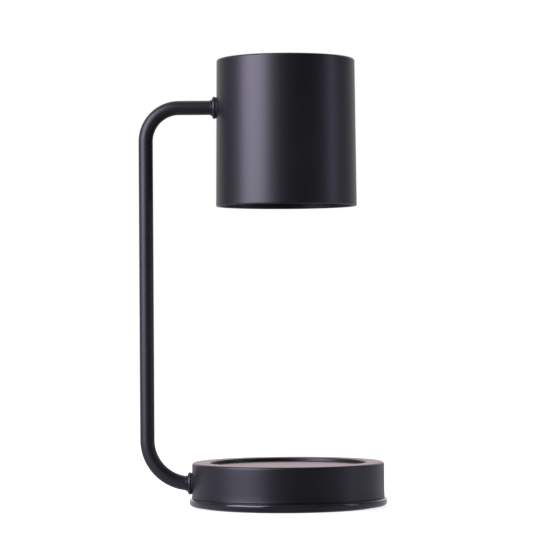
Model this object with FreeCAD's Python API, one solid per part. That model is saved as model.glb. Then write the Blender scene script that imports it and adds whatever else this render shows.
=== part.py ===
"""Candle warmer lamp: a bent steel arm carries a drawn shade and its reflector bulb over a round base.

Sizes are in millimetres. Z is up, the origin is the centre of the base on the table,
and the arm's upright stands on the -X side. Each piece is written to parts/NAME.step.
"""
import FreeCAD
import Part
import math
import os
from FreeCAD import Placement, Rotation, Vector

X_AXIS = Vector(1, 0, 0)
Y_AXIS = Vector(0, 1, 0)
Z_AXIS = Vector(0, 0, 1)

# General layout
lamp_height = 312.0
shade_height = 102.8
arm_drop = 33.6
base_height = 31.0

# Fits between pieces
slip_gap = 0.15
close_gap = 0.05
collar_gap = 0.25
turning_gap = 0.3
entry_gap = 0.5
cut_overrun = 1.0

# Shade, a drawn cup with a closed top and a hemmed lower rim
shade_top_radius = 48.2
shade_taper = 0.9
shade_wall = 1.0
shade_top_round = 1.7
hem_thickness = 2.0
hem_height = 5.0
hem_round = 0.9

# Base housing, a drawn drum with a dished top
drum_radius = 66.9
skirt_flare = 0.4
skirt_flare_height = 9.0
drum_wall = 1.0
drum_top_round = 1.7
dish_depth = 2.8
dish_edge_round = 1.4
dish_floor_round = 0.7

# Base cover, moulded, with the rounded lip that shows under the drum
lip_overhang = 1.4
lip_height = 5.0
lip_lift = 0.9
lip_lower_round = 1.9
lip_upper_round = 2.6
cover_floor = 2.2
spigot_wall = 1.5
spigot_height = 3.0
spigot_round = 0.5
pad_setback = 5.3
pad_thickness = 1.5
pad_edge_round = 0.3

# Fixing posts between the drum and the cover
post_count = 3
post_radius = 3.5
post_side_gap = 1.1
post_boss_margin = 0.7
post_boss_height = 2.8

# Counterweight
weight_side_gap = 1.8
weight_edge_round = 1.0
weight_centre_hole = 6.0
weight_boss_circle = 30.0
weight_boss_radius = 5.0
weight_boss_height = 1.5
terminal_headroom = 2.5

# Arm tube, its collars, gaskets, nuts and washers
tube_radius = 5.0
tube_wall = 1.0
foot_bend_radius = 30.4
head_bend_radius = 23.4
foot_bend_flattening = 0.11
head_bend_flattening = 0.18
bend_spread = 0.45
bend_sections = 9
bend_in_collar = 3.6
collar_rim = 2.8
collar_thickness = 2.5
collar_outer_round = 1.6
collar_inner_round = 0.6
collar_neck_wall = 0.7
collar_neck_length = 1.2
collar_neck_round = 0.5
gasket_setback = 0.5
gasket_thickness = 0.6
nut_wall = 2.0
nut_thickness = 3.0
lock_washer_rim = 3.8
lock_washer_thickness = 0.8
lock_washer_teeth = 12
lock_washer_tooth_depth = 1.6
lock_washer_tooth_gap = 1.5
lock_washer_side_gap = 0.9
thread_past_nut = 1.6
bush_lip = 1.2
bush_wall = 0.7
bush_length = 6.0
bush_setback = 0.3
bush_bevel = 0.4

# Lamp holder, hung from a folded bracket under the shade's top
bracket_drop = 16.0
bracket_thickness = 1.5
bracket_width = 14.0
bracket_bend = 2.0
bracket_ear_margin = 0.7
bracket_end_margin = 4.5
bracket_corner_round = 3.0
holder_radius = 15.5
holder_cap_thickness = 6.0
holder_body_height = 18.0
holder_edge_round = 1.0
holder_floor = 3.4
holder_screw_offset = 10.0
holder_screw_bite = 8.0
holder_screw_tip_gap = 1.0
contact_chamber_height = 3.2
contact_width = 4.0
contact_thickness = 0.6
barrel_height = 4.0
barrel_wall = 0.7

# Reflector bulb with two headed pins, held by a quarter turn
pin_circle_radius = 5.0
pin_neck_radius = 1.4
pin_neck_length = 4.0
pin_head_radius = 2.4
pin_head_height = 2.6
pin_foot_bevel = 0.3
pin_tip_bevel = 0.6
bulb_unlock_angle = 50.0
bulb_base_radius = 10.5
bulb_base_flare = 1.3
bulb_base_height = 14.5
bulb_base_round = 1.2
bulb_base_skirt_bevel = 0.5
bulb_rim_radius = 25.0
bulb_rim_height = 3.2
bulb_reflector_height = 31.0
bulb_glass = 1.4
bulb_lens_thickness = 1.8
bulb_lens_bevel = 0.5
bulb_rim_ledge = 1.0
bulb_neck_setback = 1.0
bowl_points = 7
burner_radius = 4.6
burner_length = 17.0
burner_stem_radius = 3.4
burner_stem_length = 5.0
burner_shoulder = 1.0
burner_tip_share = 0.8

# Leads, terminal block and cord inlet
lead_radius = 1.05
lead_gap = 0.9
lead_exit_offset = 11.5
lead_bend_radius = 6.3
lead_loop_height = 9.0
lead_side_gap = 1.5
lead_past_clamp = 3.0
lead_straight_at_terminal = 2.5
lead_straight_at_bush = 3.5
lead_straight_at_head = 5.0
lead_slope_reach = 5.0
lead_slope_rise = 6.0
lead_end_gap = 0.5
terminal_length = 17.0
terminal_width = 16.0
terminal_height = 6.8
terminal_pitch = 8.0
terminal_tower_radius = 2.9
terminal_tower_height = 3.2
terminal_standoff = 16.66
terminal_corner_round = 1.0
terminal_pole_height = 3.2
insert_radius = 2.3
insert_length = 14.0
insert_bore = 1.5
clamp_screw_radius = 1.2
clamp_screw_spacing = 8.0
clamp_screw_length = 5.6
inlet_height = 17.0
inlet_bore = 3.3
inlet_wall = 1.45
inlet_flange_radius = 6.5
inlet_flange_thickness = 2.2
inlet_flange_round = 1.0
inlet_snap_radius = 5.5
inlet_snap_length = 2.4

# Screws
screw_tip_share = 0.3
screw_head_round_share = 0.4
cover_screw_radius = 1.5
cover_screw_head_radius = 2.8
cover_screw_head_height = 2.0
cover_screw_bite = 9.0
cover_screw_tip_gap = 1.0
small_screw_radius = 1.2
small_screw_head_radius = 2.3
small_screw_head_height = 1.6
small_screw_bite = 6.0
holder_screw_radius = 1.5
holder_screw_head_radius = 2.8
holder_screw_head_height = 2.2
driver_slot_width = 0.7
driver_slot_depth = 0.8

# Heights and places that follow from the sizes above
arm_head_height = lamp_height - arm_drop
shade_rim_z = lamp_height - shade_height
shade_rim_radius = shade_top_radius + shade_taper
skirt_radius = drum_radius + skirt_flare
lip_radius = skirt_radius + lip_overhang
spigot_radius = drum_radius - drum_wall - slip_gap
pad_radius = skirt_radius - pad_setback
post_boss_radius = post_radius + post_boss_margin
post_circle_radius = spigot_radius - spigot_wall - close_gap - post_boss_radius
dish_radius = post_circle_radius - post_radius - post_side_gap - drum_wall
weight_radius = post_circle_radius - post_boss_radius - weight_side_gap
cover_under_z = pad_thickness
cover_floor_z = cover_under_z + cover_floor
post_seat_z = cover_floor_z + post_boss_height
drum_under_z = base_height - drum_wall
dish_z = base_height - dish_depth
collar_radius = tube_radius + collar_rim
collar_neck_radius = tube_radius + collar_neck_wall
gasket_radius = collar_radius - gasket_setback
nut_across_flats = 2 * (tube_radius + nut_wall)
lock_washer_radius = tube_radius + lock_washer_rim
arm_foot_height = cover_floor_z + spigot_height + lock_washer_side_gap + lock_washer_radius
collar_length = gasket_thickness + collar_thickness + collar_neck_length
arm_reach = drum_radius + collar_length - bend_in_collar + foot_bend_radius
lead_spacing = 2 * lead_radius + lead_gap
lead_loop_reach = holder_radius + lead_side_gap
clamp_screw_top = lead_radius + close_gap + clamp_screw_length + small_screw_head_height
terminal_stack = terminal_pole_height + clamp_screw_top
weight_z = cover_floor_z + weight_boss_height
weight_top_z = dish_z - drum_wall - terminal_headroom - terminal_stack
weight_thickness = weight_top_z - weight_z
bracket_z = lamp_height - bracket_drop
holder_cap_z = bracket_z - holder_cap_thickness
holder_face_z = holder_cap_z - holder_body_height
chamber_z = holder_face_z + holder_floor
pocket_z = chamber_z + contact_chamber_height
bulb_seat_z = holder_face_z - turning_gap
bulb_base_skirt_radius = bulb_base_radius + bulb_base_flare
tube_bore = tube_radius - tube_wall


def shade_radius_at(z):
    """Outer radius of the tapered shade wall at height z."""
    share = (z - shade_rim_z) / shade_height
    return shade_rim_radius + (shade_top_radius - shade_rim_radius) * share


def flat_seat_inside(radius, half_width):
    """Distance from the axis at which both edges of a flat piece meet the inside of a round wall."""
    return math.sqrt(radius ** 2 - half_width ** 2) - close_gap


drum_seat_x = flat_seat_inside(drum_radius - drum_wall, lock_washer_radius)
foot_end_x = drum_seat_x - lock_washer_thickness - nut_thickness - thread_past_nut
ear_outer_x = flat_seat_inside(shade_radius_at(bracket_z) - shade_wall, bracket_width / 2)
ear_inner_x = ear_outer_x - bracket_thickness
head_end_x = ear_inner_x - lock_washer_thickness - nut_thickness - thread_past_nut
terminal_start = foot_end_x - bush_lip - terminal_standoff


# Shape helpers

def corner_arc(before, corner, after, radius):
    """The two tangent points and the middle point of a fillet of that radius at a corner."""
    to_before = (before - corner).normalize()
    to_after = (after - corner).normalize()
    half = to_before.getAngle(to_after) / 2
    reach = radius / math.tan(half)
    bisector = (to_before + to_after).normalize()
    centre = corner + bisector * (radius / math.sin(half))
    return corner + to_before * reach, centre - bisector * radius, corner + to_after * reach


def rounded_wire(points, closed, bevelled=False):
    """Straight runs through (Vector, size) pairs, joined by tangent arcs or by bevels of that size."""
    count = len(points)
    starts, ends, arcs = [], [], []
    for i, (corner, radius) in enumerate(points):
        inner = closed or 0 < i < count - 1
        if inner and radius > 0:
            first, middle, last = corner_arc(
                points[i - 1][0], corner, points[(i + 1) % count][0], radius)
            corner_edge = Part.LineSegment(first, last) if bevelled else Part.Arc(first, middle, last)
            arcs.append(corner_edge.toShape())
        else:
            first, last = corner, corner
            arcs.append(None)
        starts.append(first)
        ends.append(last)
    edges = []
    for i in range(count):
        if arcs[i]:
            edges.append(arcs[i])
        if closed or i < count - 1:
            following = starts[(i + 1) % count]
            if ends[i].distanceToPoint(following) > 1e-6:
                edges.append(Part.LineSegment(ends[i], following).toShape())
    return Part.Wire(edges)


def turned(profile, bevelled=False):
    """Solid of revolution about Z of a closed (radius, height, corner size) outline."""
    corners = [(Vector(r, 0, z), size) for r, z, size in profile]
    return Part.Face(rounded_wire(corners, True, bevelled)).revolve(Vector(), Z_AXIS, 360)


def bevelled(profile):
    """The same with bevelled corners, for the small hidden pieces."""
    return turned(profile, True)


def laid_along(shape, origin, direction):
    """Turns a shape's own Z to a direction and moves its own origin."""
    moved = shape.copy()
    moved.Placement = Placement(origin, Rotation(Z_AXIS, direction))
    return moved


def rod(start, direction, length, radius):
    return Part.makeCylinder(radius, length, start, direction)


def block(low, high):
    size = high - low
    return Part.makeBox(size.x, size.y, size.z, low)


def joined(first, *others):
    return first.multiFuse(list(others)).removeSplitter()


def around(shape, count, angle=360.0, start=0.0):
    """Copies of a shape spaced evenly about Z, the first at the start angle."""
    copies = []
    for i in range(count):
        copy = shape.copy()
        copy.rotate(Vector(), Z_AXIS, start + i * angle / count)
        copies.append(copy)
    return copies


def pan_screw(tip, direction, length, radius, head_radius, head_height):
    """Slotted screw whose head seats at tip + direction * length."""
    top = length + head_height
    profile = [
        (0, 0, 0), (radius, 0, screw_tip_share * radius), (radius, length, 0), (head_radius, length, 0),
        (head_radius, top, screw_head_round_share * head_height), (0, top, 0)]
    slot = block(
        Vector(-head_radius, -driver_slot_width / 2, top - driver_slot_depth),
        Vector(head_radius, driver_slot_width / 2, top + cut_overrun))
    return laid_along(bevelled(profile).cut(slot), tip, direction)


def arc_slot(radius, half_width, z_low, z_high, start, end):
    """A round-ended slot that follows a circle about Z from a start angle to an end angle."""
    def at(distance, degrees):
        turn = math.radians(degrees)
        return Vector(distance * math.cos(turn), distance * math.sin(turn), z_low)

    def cap(degrees, side):
        tip = at(radius, degrees) + at(half_width, degrees + 90 * side) - Z_AXIS * z_low
        return Part.Arc(at(radius + side * half_width, degrees), tip,
                        at(radius - side * half_width, degrees)).toShape()

    middle = (start + end) / 2
    edges = [
        Part.Arc(*[at(radius + half_width, angle) for angle in (start, middle, end)]).toShape(),
        cap(end, 1),
        Part.Arc(*[at(radius - half_width, angle) for angle in (end, middle, start)]).toShape(),
        cap(start, -1)]
    return Part.Face(Part.Wire(edges)).extrude(Z_AXIS * (z_high - z_low))


# Arm tube

def tube_ring(centre, tangent, half_width, half_depth):
    """Oval outline across the tube, wide along Y and shallow in the plane of the bend."""
    stretch = FreeCAD.Matrix()
    stretch.A11 = half_width
    stretch.A22 = half_depth
    ring = Part.makeCircle(1.0).transformGeometry(stretch)
    ring.Placement = Placement(centre, Rotation(Y_AXIS, tangent.cross(Y_AXIS), tangent, "ZXY"))
    return Part.Wire(ring.Edges)


def bend_rings(centre, bend_radius, start_angle, inset, flattening):
    """Rings through a quarter bend that flattens towards its middle, as a bent tube does."""
    rings = []
    for i in range(bend_sections):
        share = i / (bend_sections - 1)
        angle = math.radians(start_angle - 90 * share)
        outward = Vector(math.cos(angle), 0, math.sin(angle))
        tangent = Vector(math.sin(angle), 0, -math.cos(angle))
        squeeze = flattening * math.sin(math.pi * share) ** 2
        half_depth = tube_radius * (1 - squeeze) - inset
        half_width = tube_radius * (1 + bend_spread * squeeze) - inset
        rings.append(tube_ring(centre + outward * bend_radius, tangent, half_width, half_depth))
    return rings


def arm_skin(inset):
    """Faces along the whole arm at a depth in the tube's wall, with the rings at its two ends."""
    bore = tube_radius - inset
    foot_centre = Vector(-arm_reach + foot_bend_radius, 0, arm_foot_height + foot_bend_radius)
    head_centre = Vector(-arm_reach + head_bend_radius, 0, arm_head_height - head_bend_radius)
    foot = bend_rings(foot_centre, foot_bend_radius, 270, inset, foot_bend_flattening)
    head = bend_rings(head_centre, head_bend_radius, 180, inset, head_bend_flattening)
    first = tube_ring(Vector(-foot_end_x, 0, arm_foot_height), -X_AXIS, bore, bore)
    last = tube_ring(Vector(-head_end_x, 0, arm_head_height), X_AXIS, bore, bore)
    faces = []
    for rings in ([first, foot[0]], foot, [foot[-1], head[0]], head, [head[-1], last]):
        faces += Part.makeLoft(rings, False, len(rings) == 2).Faces
    return faces, first, last


def make_arm_tube():
    outer, outer_first, outer_last = arm_skin(0)
    inner, inner_first, inner_last = arm_skin(tube_wall)
    ends = [Part.makeFace([outer_ring, inner_ring], "Part::FaceMakerBullseye")
            for outer_ring, inner_ring in ((outer_first, inner_first), (outer_last, inner_last))]
    shell = Part.makeShell(outer + inner + ends)
    shell.sewShape()
    return Part.makeSolid(shell)


def arm_clearance(z):
    """Cutter along the arm's end, loose enough for the start of the bend."""
    return rod(Vector(-arm_reach, 0, z), X_AXIS, arm_reach, tube_radius + collar_gap)


def make_collar(wall_x, z):
    """Turned collar on the tube, with its flange against the gasket on a round wall."""
    flange_top = collar_thickness
    neck_top = collar_thickness + collar_neck_length
    profile = [
        (0, 0, 0), (collar_radius, 0, collar_inner_round),
        (collar_radius, flange_top, collar_outer_round), (collar_neck_radius, flange_top, 0),
        (collar_neck_radius, neck_top, collar_neck_round), (0, neck_top, 0)]
    collar = laid_along(turned(profile), Vector(-wall_x - gasket_thickness, 0, z), -X_AXIS)
    return collar.cut(arm_clearance(z))


def make_gasket(wall_x, z, wall):
    """Soft ring with one flat side for the collar and one side shaped to the round wall."""
    reach = wall_x - gasket_radius
    ring = rod(Vector(-wall_x - gasket_thickness, 0, z), X_AXIS, reach, gasket_radius)
    return ring.cut(wall).cut(arm_clearance(z))


def make_lock_washer(x, z):
    """Toothed washer whose inner face lies at distance x from the axis."""
    ring = rod(Vector(), Z_AXIS, lock_washer_thickness, lock_washer_radius)
    ring = ring.cut(rod(Vector(), Z_AXIS, lock_washer_thickness, tube_radius + close_gap))
    notch = block(
        Vector(lock_washer_radius - lock_washer_tooth_depth, -lock_washer_tooth_gap / 2, 0),
        Vector(lock_washer_radius + cut_overrun, lock_washer_tooth_gap / 2, lock_washer_thickness))
    half_step = 180 / lock_washer_teeth
    for cut in around(notch, lock_washer_teeth, start=half_step):
        ring = ring.cut(cut)
    return laid_along(ring, Vector(-x, 0, z), -X_AXIS)


def make_arm_nut(x, z):
    """Thin hexagon nut whose inner face lies at distance x from the axis."""
    corner = nut_across_flats / math.sqrt(3)
    points = [Vector(corner, 0, 0)]
    for i in range(1, 7):
        turn = math.radians(60 * i)
        points.append(Vector(corner * math.cos(turn), corner * math.sin(turn), 0))
    prism = Part.Face(Part.makePolygon(points)).extrude(Z_AXIS * nut_thickness)
    crown = bevelled([
        (0, 0, 0), (corner, 0, 0), (corner, nut_thickness, (corner - nut_across_flats / 2)),
        (0, nut_thickness, 0)])
    nut = prism.common(crown)
    nut = nut.cut(rod(Vector(), Z_AXIS, nut_thickness, tube_radius + close_gap))
    return laid_along(nut, Vector(-x - nut_thickness, 0, z), X_AXIS)


def make_bush(end_x, z):
    """Moulded bush in the tube's end, whose lip keeps the leads off the cut edge."""
    sleeve = tube_bore - close_gap
    profile = [
        (sleeve - bush_wall, -bush_lip, bush_bevel),
        (tube_radius - bush_setback, -bush_lip, bush_bevel),
        (tube_radius - bush_setback, 0, 0), (sleeve, 0, 0),
        (sleeve, bush_length, 0), (sleeve - bush_wall, bush_length, 0)]
    return laid_along(bevelled(profile), Vector(-end_x, 0, z), -X_AXIS)


# Base

def drum_outline(inset, top_round=0, edge_round=0, floor_round=0):
    """Outline of the drum from the flared skirt to the dish, drawn in by the inset."""
    return [
        (skirt_radius - inset, cover_floor_z, 0),
        ((skirt_radius + 2 * drum_radius) / 3 - inset, cover_floor_z + skirt_flare_height / 2, 0),
        (drum_radius - inset, cover_floor_z + skirt_flare_height, 0),
        (drum_radius - inset, base_height - inset, top_round),
        (dish_radius + inset, base_height - inset, edge_round),
        (dish_radius + inset, dish_z - inset, floor_round),
        (0, dish_z - inset, 0)]


def arm_hole(radius, z):
    """Cutter for the hole that the arm's threaded end passes through, on the -X side."""
    reach = drum_wall + shade_wall + cut_overrun
    return rod(Vector(-radius - reach, 0, z), X_AXIS, 2 * reach, tube_radius + slip_gap)


def inlet_origin():
    return Vector(0, drum_radius + slip_gap, inlet_height)


def make_base_housing():
    outer = drum_outline(0, drum_top_round, dish_edge_round, dish_floor_round)
    drum = turned(outer + drum_outline(drum_wall)[::-1])
    reach = drum_wall + cut_overrun
    inlet = rod(Vector(0, drum_radius - reach, inlet_height), Y_AXIS, 2 * reach,
                inlet_bore + inlet_wall + slip_gap)
    return drum.cut(arm_hole(drum_radius, arm_foot_height)).cut(inlet)


def make_base_cover():
    lip_top = lip_lift + lip_height
    seat = skirt_radius + slip_gap
    lip_arc_centre = Vector(lip_radius - lip_upper_round, 0, lip_top - lip_upper_round)
    lip_low_centre = Vector(lip_radius - lip_lower_round, 0, lip_lift + lip_lower_round)
    rise = math.sqrt(lip_upper_round ** 2 - (seat - lip_arc_centre.x) ** 2)
    half_turn = Vector(math.sqrt(0.5), 0, -math.sqrt(0.5))
    lip_end = Vector(seat, 0, lip_arc_centre.z + rise)
    lip_mid_angle = math.atan2(rise, seat - lip_arc_centre.x) / 2
    lip_mid = Vector(math.cos(lip_mid_angle), 0, math.sin(lip_mid_angle))
    underside = Vector(pad_radius + slip_gap, 0, lip_lift)
    lip_low = Vector(lip_low_centre.x, 0, lip_lift)
    lip_side = Vector(lip_radius, 0, lip_low_centre.z)
    lip_shoulder = Vector(lip_radius, 0, lip_arc_centre.z)
    outline = [
        Part.makePolygon([lip_end, Vector(seat, 0, cover_floor_z), Vector(0, 0, cover_floor_z),
                          Vector(0, 0, cover_under_z), Vector(underside.x, 0, cover_under_z),
                          underside, lip_low]),
        Part.Arc(lip_low, lip_low_centre + half_turn * lip_lower_round, lip_side).toShape(),
        Part.LineSegment(lip_side, lip_shoulder).toShape(),
        Part.Arc(lip_shoulder, lip_arc_centre + lip_mid * lip_upper_round, lip_end).toShape()]
    edges = [edge for piece in outline for edge in piece.Edges]
    tray = Part.Face(Part.Wire(edges)).revolve(Vector(), Z_AXIS, 360)
    spigot = bevelled([
        (spigot_radius - spigot_wall, cover_under_z, 0), (spigot_radius, cover_under_z, 0),
        (spigot_radius, cover_floor_z + spigot_height, spigot_round),
        (spigot_radius - spigot_wall, cover_floor_z + spigot_height, spigot_round)])
    posts = around(
        rod(Vector(post_circle_radius, 0, cover_under_z), Z_AXIS, cover_floor + post_boss_height,
            post_boss_radius), post_count)
    pads = around(
        rod(Vector(weight_boss_circle, 0, cover_under_z), Z_AXIS, cover_floor + weight_boss_height,
            weight_boss_radius), post_count)
    cover = joined(tray, spigot, *posts, *pads)
    for circle, seat_z in ((post_circle_radius, post_seat_z), (weight_boss_circle, weight_z)):
        shank = rod(Vector(circle, 0, 0), Z_AXIS, seat_z + cut_overrun, cover_screw_radius + slip_gap)
        sunk = rod(Vector(circle, 0, 0), Z_AXIS, cover_under_z + screw_head_depth(),
                   cover_screw_head_radius + slip_gap)
        for hole in around(joined(shank, sunk), post_count):
            cover = cover.cut(hole)
    return cover


def screw_head_depth():
    """Depth of the sunk seat that keeps a cover screw's head clear of the pad."""
    return cover_screw_head_height + slip_gap


def make_pad():
    return bevelled([
        (0, 0, 0), (pad_radius, 0, pad_edge_round), (pad_radius, pad_thickness, 0),
        (0, pad_thickness, 0)])


def make_posts():
    """Threaded posts welded under the drum's rim."""
    bore = rod(Vector(post_circle_radius, 0, post_seat_z), Z_AXIS,
               cover_screw_bite + cover_screw_tip_gap, cover_screw_radius + close_gap)
    post = rod(Vector(post_circle_radius, 0, post_seat_z), Z_AXIS, drum_under_z - post_seat_z,
               post_radius)
    return around(post.cut(bore), post_count)


def cover_screws(circle, seat_z):
    """Screws driven up through the cover from the sunk seats in its underside."""
    head_seat = cover_under_z + screw_head_depth()
    length = seat_z + cover_screw_bite - head_seat
    return around(
        pan_screw(Vector(circle, 0, head_seat + length), -Z_AXIS, length, cover_screw_radius,
                  cover_screw_head_radius, cover_screw_head_height), post_count)


def make_counterweight():
    """Cast disc on the cover, tapped for its own screws and for the terminal block's."""
    disc = bevelled([
        (weight_centre_hole, weight_z, 0), (weight_radius, weight_z, weight_edge_round),
        (weight_radius, weight_top_z, weight_edge_round), (weight_centre_hole, weight_top_z, 0)])
    holes = around(
        rod(Vector(weight_boss_circle, 0, weight_z), Z_AXIS, weight_thickness,
            cover_screw_radius + close_gap), post_count)
    holes.append(rod(
        Vector(terminal_centre().x, 0, weight_top_z - small_screw_bite), Z_AXIS, small_screw_bite,
        small_screw_radius + close_gap))
    for hole in holes:
        disc = disc.cut(hole)
    return disc


def make_inlet_bush():
    """Snap-in bush in the back of the drum, with the bore that a cord passes through."""
    wall_inside = flat_seat_inside(drum_radius - drum_wall, inlet_snap_radius)
    groove = inlet_origin().y - wall_inside
    barrel = inlet_bore + inlet_wall
    profile = [
        (inlet_bore, inlet_flange_thickness, 0),
        (inlet_flange_radius, inlet_flange_thickness, inlet_flange_round),
        (inlet_flange_radius, 0, 0), (barrel, 0, 0), (barrel, -groove, 0),
        (inlet_snap_radius, -groove, 0),
        (barrel, -groove - inlet_snap_length, 0), (inlet_bore, -groove - inlet_snap_length, 0)]
    return laid_along(turned(profile), inlet_origin(), Y_AXIS)


# Terminal block and leads

def terminal_centre():
    return Vector(-terminal_start + terminal_length / 2, 0, weight_top_z)


def terminal_poles():
    """Middle of each pole's bore."""
    middle = terminal_centre()
    height = middle.z + terminal_pole_height
    return [Vector(middle.x, side * terminal_pitch / 2, height) for side in (-1, 1)]


def clamp_screw_places():
    places = []
    for pole in terminal_poles():
        for side in (-1, 1):
            places.append(pole + X_AXIS * side * clamp_screw_spacing / 2)
    return places


def make_terminal_block():
    middle = terminal_centre()
    body = block(
        middle - Vector(terminal_length / 2, terminal_width / 2, 0),
        middle + Vector(terminal_length / 2, terminal_width / 2, terminal_height))
    uprights = [edge for edge in body.Edges if edge.BoundBox.ZLength > terminal_height / 2]
    body = body.makeFillet(terminal_corner_round, uprights)
    towers = [
        rod(Vector(p.x, p.y, middle.z), Z_AXIS, terminal_height + terminal_tower_height,
            terminal_tower_radius)
        for p in clamp_screw_places()]
    body = joined(body, *towers)
    for pole in terminal_poles():
        body = body.cut(rod(pole - X_AXIS * terminal_length, X_AXIS, 2 * terminal_length,
                            insert_radius + close_gap))
    for place in clamp_screw_places():
        body = body.cut(rod(place, Z_AXIS, terminal_height + terminal_tower_height,
                            clamp_screw_radius + slip_gap))
    return body.cut(rod(middle, Z_AXIS, terminal_height, small_screw_radius + slip_gap))


def make_terminal_inserts():
    """Brass barrels, each with a bore along it and two tapped holes from the top."""
    inserts = []
    for pole in terminal_poles():
        start = pole - X_AXIS * insert_length / 2
        insert = rod(start, X_AXIS, insert_length, insert_radius)
        insert = insert.cut(rod(start, X_AXIS, insert_length, insert_bore))
        for place in clamp_screw_places():
            if place.y == pole.y:
                insert = insert.cut(rod(place, Z_AXIS, insert_radius, clamp_screw_radius + close_gap))
        inserts.append(insert)
    return inserts


def make_clamp_screws():
    tip = lead_radius + close_gap
    return [
        pan_screw(place + Z_AXIS * tip, Z_AXIS, clamp_screw_length, clamp_screw_radius,
                  clamp_screw_radius, small_screw_head_height)
        for place in clamp_screw_places()]


def make_terminal_screw():
    middle = terminal_centre()
    return pan_screw(middle + Vector(0, 0, -small_screw_bite), Z_AXIS,
                     small_screw_bite + terminal_height, small_screw_radius,
                     small_screw_head_radius, small_screw_head_height)


def lead_route(side):
    """One lead from its terminal, through the arm and over the holder's cap to its contact."""
    in_tube = side * lead_spacing / 2
    at_block = side * terminal_pitch / 2
    over = side * lead_exit_offset
    crest = bracket_z + lead_loop_height
    holder_side = -lead_loop_reach
    clamped = terminal_poles()[0]
    low = arm_foot_height
    high = arm_head_height
    return [
        (Vector(clamped.x - clamp_screw_spacing / 2 + lead_past_clamp, at_block, clamped.z), 0),
        (Vector(-terminal_start - lead_straight_at_terminal, at_block, clamped.z), lead_bend_radius),
        (Vector(-foot_end_x + lead_straight_at_bush, in_tube, low), lead_bend_radius),
        (Vector(-arm_reach, in_tube, low), foot_bend_radius),
        (Vector(-arm_reach, in_tube, high), head_bend_radius),
        (Vector(-head_end_x + lead_straight_at_head, in_tube, high), lead_bend_radius),
        (Vector(holder_side - lead_slope_reach, over, high + lead_slope_rise), lead_bend_radius),
        (Vector(holder_side, over, crest), lead_bend_radius),
        (Vector(0, over, crest), lead_bend_radius),
        (Vector(0, over, pocket_z + contact_thickness + lead_end_gap), 0)]


def make_lead(side):
    points = lead_route(side)
    path = rounded_wire(points, False)
    start = points[0][0]
    section = Part.Wire(Part.makeCircle(lead_radius, start, X_AXIS))
    return path.makePipeShell([section], True, False)


# Shade and lamp holder

def make_shade():
    rim_inner = shade_rim_radius - hem_thickness
    hem_z = shade_rim_z + hem_height
    inside_at_hem = shade_radius_at(hem_z) - shade_wall
    inside_top = lamp_height - shade_wall
    shade = turned([
        (0, lamp_height, 0), (shade_top_radius, lamp_height, shade_top_round),
        (shade_rim_radius, shade_rim_z, hem_round), (rim_inner, shade_rim_z, hem_round),
        (rim_inner, hem_z, 0), (inside_at_hem, hem_z, 0),
        (shade_radius_at(inside_top) - shade_wall, inside_top, 0), (0, inside_top, 0)])
    return shade.cut(arm_hole(shade_radius_at(arm_head_height), arm_head_height))


def make_bracket():
    """Folded strip: an ear clamped on the arm's end, and a shelf over the lamp holder."""
    far = holder_screw_offset + bracket_end_margin
    top = bracket_z + bracket_thickness
    bottom = arm_head_height - lock_washer_radius - bracket_ear_margin
    outline = [
        (Vector(-ear_outer_x, 0, bottom), 0),
        (Vector(-ear_outer_x, 0, top), bracket_bend + bracket_thickness),
        (Vector(far, 0, top), 0), (Vector(far, 0, bracket_z), 0),
        (Vector(-ear_inner_x, 0, bracket_z), bracket_bend), (Vector(-ear_inner_x, 0, bottom), 0)]
    strip = Part.Face(rounded_wire(outline, True)).extrude(Y_AXIS * bracket_width)
    strip.translate(-Y_AXIS * bracket_width / 2)
    corners = []
    for edge in strip.Edges:
        middle = edge.CenterOfMass
        side = abs(abs(middle.y) - bracket_width / 2) < 1e-6
        thickness_edge = abs(edge.Length - bracket_thickness) < 1e-6
        if side and thickness_edge and (abs(middle.x - far) < 1e-6 or abs(middle.z - bottom) < 1e-6):
            corners.append(edge)
    strip = strip.makeFillet(bracket_corner_round, corners)
    strip = strip.cut(rod(Vector(-ear_outer_x - cut_overrun, 0, arm_head_height), X_AXIS,
                          bracket_thickness + 2 * cut_overrun, tube_radius + slip_gap))
    for side in (-1, 1):
        strip = strip.cut(rod(Vector(side * holder_screw_offset, 0, bracket_z - cut_overrun), Z_AXIS,
                              bracket_thickness + 2 * cut_overrun, holder_screw_radius + slip_gap))
    return strip


def holder_screw_holes(gap):
    """Cutters for the two screws that hang the holder from the bracket."""
    low = holder_cap_z - holder_screw_bite
    return [
        rod(Vector(side * holder_screw_offset, 0, low), Z_AXIS, bracket_z - low,
            holder_screw_radius + gap) for side in (-1, 1)]


def make_holder_cap():
    cap = bevelled([
        (0, holder_cap_z, 0), (holder_radius, holder_cap_z, 0),
        (holder_radius, bracket_z, holder_edge_round), (0, bracket_z, 0)])
    for hole in holder_screw_holes(slip_gap):
        cap = cap.cut(hole)
    for side in (-1, 1):
        cap = cap.cut(rod(Vector(0, side * lead_exit_offset, holder_cap_z), Z_AXIS,
                          holder_cap_thickness, lead_radius + slip_gap))
    return cap


def contact_reach():
    """Outer end of a contact along Y, past the lead's barrel."""
    return lead_exit_offset + lead_radius + close_gap + barrel_wall


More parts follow.
